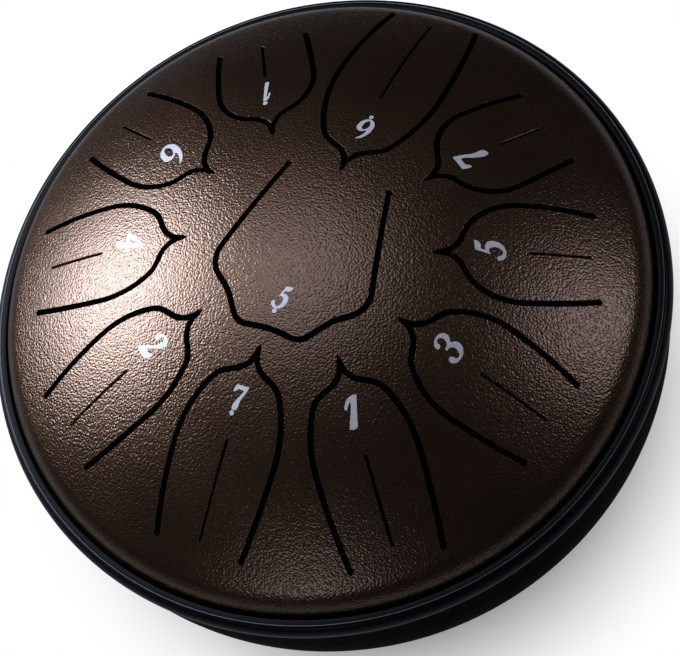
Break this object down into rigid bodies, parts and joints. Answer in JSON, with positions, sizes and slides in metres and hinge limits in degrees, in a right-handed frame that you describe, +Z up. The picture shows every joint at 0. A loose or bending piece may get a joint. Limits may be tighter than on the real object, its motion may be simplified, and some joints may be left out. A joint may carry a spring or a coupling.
{
  "type": "steel tongue drum",
  "caption": "Domed steel tongue drum with petal-shaped note tongues round a centre tongue, a rubber band over the seam, a bowl below and rubber feet.",
  "frame": {"origin": "middle of the drum at the height that its feet stand on", "axes": "+Z up along the drum's axis; +X to the player's right; -Y towards the player, where the tongue marked low 7 points; the centre tongue's root is towards +Y"},
  "size_m": [0.254, 0.254, 0.1374],
  "materials": {
    "bronze_paint": "fine-textured bronze-brown paint, satin",
    "black_paint": "glossy blue-black paint",
    "gasket_rubber": "matt black rubber sheet",
    "band_rubber": "smooth black rubber, satin",
    "foot_rubber": "matt black rubber",
    "screw_steel": "zinc-plated, plain"
  },
  "bodies": {
    "drum": {"upper_shell": "bronze_paint", "lower_shell": "black_paint", "seam_gasket": "gasket_rubber", "rim_band": "band_rubber", "foot_front_right": "foot_rubber", "foot_back_right": "foot_rubber", "foot_back_left": "foot_rubber", "foot_front_left": "foot_rubber", "foot_screws": "screw_steel", "foot_washers": "screw_steel", "foot_nuts": "screw_steel"},
    "tongue_low_5": {"tongue_low_5": "bronze_paint"},
    "tongue_low_6": {"tongue_low_6": "bronze_paint"},
    "tongue_low_7": {"tongue_low_7": "bronze_paint"},
    "tongue_1": {"tongue_1": "bronze_paint"},
    "tongue_2": {"tongue_2": "bronze_paint"},
    "tongue_3": {"tongue_3": "bronze_paint"},
    "tongue_4": {"tongue_4": "bronze_paint"},
    "tongue_5": {"tongue_5": "bronze_paint"},
    "tongue_6": {"tongue_6": "bronze_paint"},
    "tongue_7": {"tongue_7": "bronze_paint"},
    "tongue_high_1": {"tongue_high_1": "bronze_paint"}
  },
  "joints": [
    {"name": "tongue_low_5_flex", "type": "hinge", "parent": "drum", "child": "tongue_low_5", "pos_m": [0.00139, 0.03218, 0.1341], "axis": [1, 0.0035, 0], "range_deg": [-0.5, 0.5], "stiffness_Nm_per_rad": 9, "springref_deg": -0.07},
    {"name": "tongue_low_6_flex", "type": "hinge", "parent": "drum", "child": "tongue_low_6", "pos_m": [-0.00184, 0.11302, 0.10342], "axis": [0.9993, 0.0366, 0], "range_deg": [-0.5, 0.5], "stiffness_Nm_per_rad": 11, "springref_deg": -0.05},
    {"name": "tongue_low_7_flex", "type": "hinge", "parent": "drum", "child": "tongue_low_7", "pos_m": [0.0006, -0.10576, 0.10789], "axis": [-1, 0.0035, 0], "range_deg": [-0.5, 0.5], "stiffness_Nm_per_rad": 6.5, "springref_deg": -0.06},
    {"name": "tongue_1_flex", "type": "hinge", "parent": "drum", "child": "tongue_1", "pos_m": [0.06875, -0.08582, 0.10536], "axis": [-0.8059, -0.592, 0], "range_deg": [-0.5, 0.5], "stiffness_Nm_per_rad": 6, "springref_deg": -0.06},
    {"name": "tongue_2_flex", "type": "hinge", "parent": "drum", "child": "tongue_2", "pos_m": [-0.06443, -0.08189, 0.10879], "axis": [-0.7965, 0.6046, 0], "range_deg": [-0.5, 0.5], "stiffness_Nm_per_rad": 5, "springref_deg": -0.07},
    {"name": "tongue_3_flex", "type": "hinge", "parent": "drum", "child": "tongue_3", "pos_m": [0.10177, -0.02293, 0.10873], "axis": [-0.2028, -0.9792, 0], "range_deg": [-0.5, 0.5], "stiffness_Nm_per_rad": 4, "springref_deg": -0.07},
    {"name": "tongue_4_flex", "type": "hinge", "parent": "drum", "child": "tongue_4", "pos_m": [-0.10046, -0.02755, 0.10881], "axis": [-0.3551, 0.9348, 0], "range_deg": [-0.5, 0.5], "stiffness_Nm_per_rad": 4, "springref_deg": -0.08},
    {"name": "tongue_5_flex", "type": "hinge", "parent": "drum", "child": "tongue_5", "pos_m": [0.09398, 0.03987, 0.10999], "axis": [0.4274, -0.9041, 0], "range_deg": [-0.5, 0.5], "stiffness_Nm_per_rad": 2.5, "springref_deg": -0.09},
    {"name": "tongue_6_flex", "type": "hinge", "parent": "drum", "child": "tongue_6", "pos_m": [-0.09784, 0.03624, 0.10872], "axis": [0.279, 0.9603, 0], "range_deg": [-0.5, 0.5], "stiffness_Nm_per_rad": 3, "springref_deg": -0.08},
    {"name": "tongue_7_flex", "type": "hinge", "parent": "drum", "child": "tongue_7", "pos_m": [0.05713, 0.08218, 0.11109], "axis": [0.832, -0.5548, 0], "range_deg": [-0.5, 0.5], "stiffness_Nm_per_rad": 2, "springref_deg": -0.09},
    {"name": "tongue_high_1_flex", "type": "hinge", "parent": "drum", "child": "tongue_high_1", "pos_m": [-0.05817, 0.08231, 0.1107], "axis": [0.8221, 0.5693, 0], "range_deg": [-0.5, 0.5], "stiffness_Nm_per_rad": 2, "springref_deg": -0.09}
  ]
}
